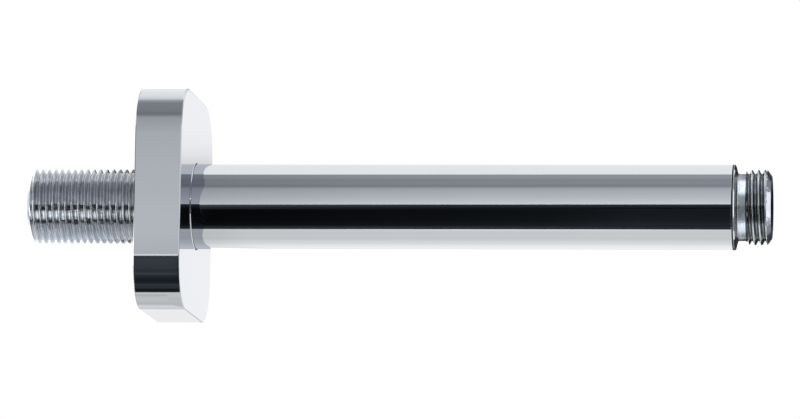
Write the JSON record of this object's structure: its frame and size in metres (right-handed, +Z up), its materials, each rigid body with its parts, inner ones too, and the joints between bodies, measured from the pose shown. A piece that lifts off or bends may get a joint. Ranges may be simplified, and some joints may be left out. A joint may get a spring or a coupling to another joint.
{
  "type": "shower arm",
  "caption": "Straight polished wall shower arm with threaded ends and a sliding soft-square wall rose sealed by a rubber ring.",
  "frame": {"origin": "on the arm's axis, in the plane of the finished wall, at the centre of the rose's back", "axes": "+X along the arm out of the wall to the outlet, +Z up, +Y to the left of someone who faces the wall, square to the rose's sides"},
  "size_m": [0.2087, 0.062, 0.062],
  "materials": {
    "polished_chrome": "polished",
    "satin_plated_brass": "satin",
    "black_rubber": "matte"
  },
  "bodies": {
    "arm": {"arm_tube": "polished_chrome", "inlet_nipple": "satin_plated_brass", "outlet_nipple": "satin_plated_brass"},
    "ring": {"flange_o_ring": "black_rubber"},
    "rose": {"wall_flange": "polished_chrome"}
  },
  "joints": [
    {"name": "rose_slide", "type": "slide", "parent": "arm", "child": "ring", "axis": [1, 0, 0], "range_m": [0, 0.15]},
    {"name": "rose_turn", "type": "hinge", "parent": "ring", "child": "rose", "pos_m": [0, 0, 0], "axis": [1, 0, 0], "continuous": true}
  ]
}
